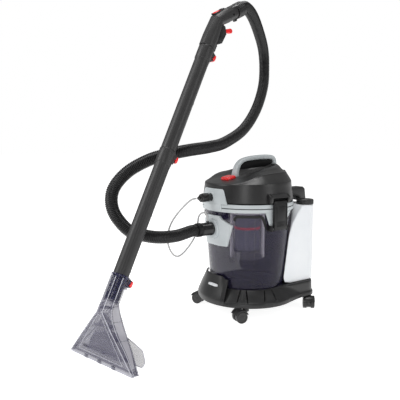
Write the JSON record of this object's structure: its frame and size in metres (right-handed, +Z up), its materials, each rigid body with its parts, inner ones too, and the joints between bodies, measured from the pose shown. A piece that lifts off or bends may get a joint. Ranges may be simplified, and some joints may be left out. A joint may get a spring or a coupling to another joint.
{
  "type": "carpet cleaner machine",
  "caption": "Wheeled wet extraction carpet cleaner with smoky drum, motor head, rear clean water tank, corrugated hose and hand wand with clear floor nozzle.",
  "frame": {"origin": "ground level on the drum's vertical axis", "axes": "+Z up, -Y towards the hose inlet (front), +Y towards the clean water tank (rear), +X to the side with the tank's filler cap"},
  "size_m": [0.4633, 0.9213, 1.0609],
  "materials": {
    "black_plastic": "fine grain",
    "gloss_black": "satin gloss",
    "grey_plastic": "satin",
    "smoke_clear": "smoky clear moulding",
    "smoke_dark": "satin",
    "clear_plastic": "clear",
    "hose_black": "corrugated, semi gloss",
    "milky_white": "milky translucent",
    "red_plastic": "gloss",
    "filter_paper": "pleated paper",
    "steel": "plain",
    "aluminium": "plain",
    "float_plastic": "plain",
    "tread": "hard rubber"
  },
  "bodies": {
    "machine": {"base_pan": "black_plastic", "base_cowl": "black_plastic", "badge": "grey_plastic", "drum": "smoke_clear", "drum_ring": "grey_plastic", "inlet_plate": "grey_plastic", "inlet_deflector": "smoke_dark", "hose_cuff": "black_plastic", "hose": "hose_black", "solution_tube": "clear_plastic", "hose_collar": "black_plastic", "handle_body": "black_plastic", "valve_box": "black_plastic", "upper_tube": "black_plastic", "lower_tube": "black_plastic", "nozzle_neck": "smoke_clear", "nozzle_body": "smoke_clear", "mouth_lip": "smoke_clear", "spray_guard": "clear_plastic", "spray_jet": "black_plastic"},
    "head": {"head_shell": "gloss_black", "latch_hoods": "gloss_black", "head_pan": "black_plastic", "front_panel": "grey_plastic", "quick_connector": "black_plastic", "carry_handle": "grey_plastic", "grip_insert": "black_plastic", "cord_gland": "black_plastic", "tank_elbow": "black_plastic", "fan_housing": "black_plastic", "motor": "steel", "pump": "black_plastic", "float_cage": "smoke_clear", "filter_pleats": "filter_paper", "filter_flange": "black_plastic", "filter_cap": "black_plastic", "filter_band": "red_plastic"},
    "switch_button": {"power_switch": "red_plastic"},
    "fan": {"fan_rotor": "aluminium"},
    "float_body": {"float": "float_plastic"},
    "latch_right_body": {"latch_right": "black_plastic"},
    "latch_left_body": {"latch_left": "black_plastic"},
    "trigger_body": {"trigger": "red_plastic"},
    "air_slider_body": {"air_slider": "red_plastic"},
    "lever_top_body": {"lever_top": "black_plastic", "tab_top": "red_plastic"},
    "lever_mid_body": {"lever_mid": "black_plastic", "tab_mid": "red_plastic"},
    "lever_low_body": {"lever_low": "black_plastic", "tab_low": "red_plastic"},
    "tank": {"clean_tank": "milky_white"},
    "cap": {"tank_cap": "black_plastic"},
    "caster_fr_body": {"caster_fr": "black_plastic"},
    "wheels_fr_body": {"wheels_fr": "tread"},
    "caster_fl_body": {"caster_fl": "black_plastic"},
    "wheels_fl_body": {"wheels_fl": "tread"},
    "caster_rr_body": {"caster_rr": "black_plastic"},
    "wheels_rr_body": {"wheels_rr": "tread"},
    "caster_rl_body": {"caster_rl": "black_plastic"},
    "wheels_rl_body": {"wheels_rl": "tread"}
  },
  "joints": [
    {"name": "head_lift", "type": "slide", "parent": "machine", "child": "head", "axis": [0, 0, 1], "range_m": [0, 0.06]},
    {"name": "switch_press", "type": "slide", "parent": "head", "child": "switch_button", "axis": [0, 0.2011, -0.9796], "range_m": [0, 0.003], "stiffness_N_per_m": 800, "springref_m": -0.001},
    {"name": "fan_spin", "type": "hinge", "parent": "head", "child": "fan", "pos_m": [0, 0, 0.39], "axis": [0, 0, 1], "continuous": true},
    {"name": "float_rise", "type": "slide", "parent": "head", "child": "float_body", "axis": [0, 0, 1], "range_m": [0, 0.02]},
    {"name": "latch_right_open", "type": "hinge", "parent": "machine", "child": "latch_right_body", "pos_m": [0.165, 0, 0.312], "axis": [0, 1, 0], "range_deg": [0, 75]},
    {"name": "latch_left_open", "type": "hinge", "parent": "machine", "child": "latch_left_body", "pos_m": [-0.165, 0, 0.312], "axis": [0, -1, 0], "range_deg": [0, 75]},
    {"name": "trigger_pull", "type": "hinge", "parent": "machine", "child": "trigger_body", "pos_m": [0.0465, -0.14869, 0.94635], "axis": [0.9781, 0.2079, 0], "range_deg": [0, 10], "stiffness_Nm_per_rad": 0.3, "springref_deg": -2.86},
    {"name": "air_slide", "type": "slide", "parent": "machine", "child": "air_slider_body", "axis": [-0.1878, 0.8836, 0.4289], "range_m": [0, 0.008]},
    {"name": "tank_pull", "type": "slide", "parent": "machine", "child": "tank", "axis": [0, 1, 0], "range_m": [0, 0.1]},
    {"name": "cap_turn", "type": "hinge", "parent": "tank", "child": "cap", "pos_m": [0.09, 0.194, 0.38], "axis": [0, 0, 1], "continuous": true},
    {"name": "lever_top_press", "type": "hinge", "parent": "machine", "child": "lever_top_body", "pos_m": [0.05775, -0.20159, 0.86419], "axis": [-0.9781, -0.2079, 0], "range_deg": [0, 6], "stiffness_Nm_per_rad": 0.05, "springref_deg": -5.73},
    {"name": "lever_mid_press", "type": "hinge", "parent": "machine", "child": "lever_mid_body", "pos_m": [0.09295, -0.36722, 0.55104], "axis": [-0.9781, -0.2079, 0], "range_deg": [0, 6], "stiffness_Nm_per_rad": 0.05, "springref_deg": -5.73},
    {"name": "lever_low_press", "type": "hinge", "parent": "machine", "child": "lever_low_body", "pos_m": [0.13087, -0.54561, 0.20743], "axis": [-0.9781, -0.2079, 0], "range_deg": [0, 6], "stiffness_Nm_per_rad": 0.05, "springref_deg": -5.73},
    {"name": "swivel_fr", "type": "hinge", "parent": "machine", "child": "caster_fr_body", "pos_m": [0.12, -0.104, 0.05], "axis": [0, 0, 1], "continuous": true},
    {"name": "roll_fr", "type": "hinge", "parent": "caster_fr_body", "child": "wheels_fr_body", "pos_m": [0.1158, -0.1256, 0.02], "axis": [0.9816, -0.1908, 0], "continuous": true},
    {"name": "swivel_fl", "type": "hinge", "parent": "machine", "child": "caster_fl_body", "pos_m": [-0.12, -0.104, 0.05], "axis": [0, 0, 1], "continuous": true},
    {"name": "roll_fl", "type": "hinge", "parent": "caster_fl_body", "child": "wheels_fl_body", "pos_m": [-0.13994, -0.1133, 0.02], "axis": [0.4226, -0.9063, 0], "continuous": true},
    {"name": "swivel_rr", "type": "hinge", "parent": "machine", "child": "caster_rr_body", "pos_m": [0.122, 0.188, 0.05], "axis": [0, 0, 1], "continuous": true},
    {"name": "roll_rr", "type": "hinge", "parent": "caster_rr_body", "child": "wheels_rr_body", "pos_m": [0.13885, 0.17386, 0.02], "axis": [0.6428, 0.766, 0], "continuous": true},
    {"name": "swivel_rl", "type": "hinge", "parent": "machine", "child": "caster_rl_body", "pos_m": [-0.122, 0.188, 0.05], "axis": [0, 0, 1], "continuous": true},
    {"name": "roll_rl", "type": "hinge", "parent": "caster_rl_body", "child": "wheels_rl_body", "pos_m": [-0.133, 0.20705, 0.02], "axis": [-0.866, -0.5, 0], "continuous": true}
  ]
}
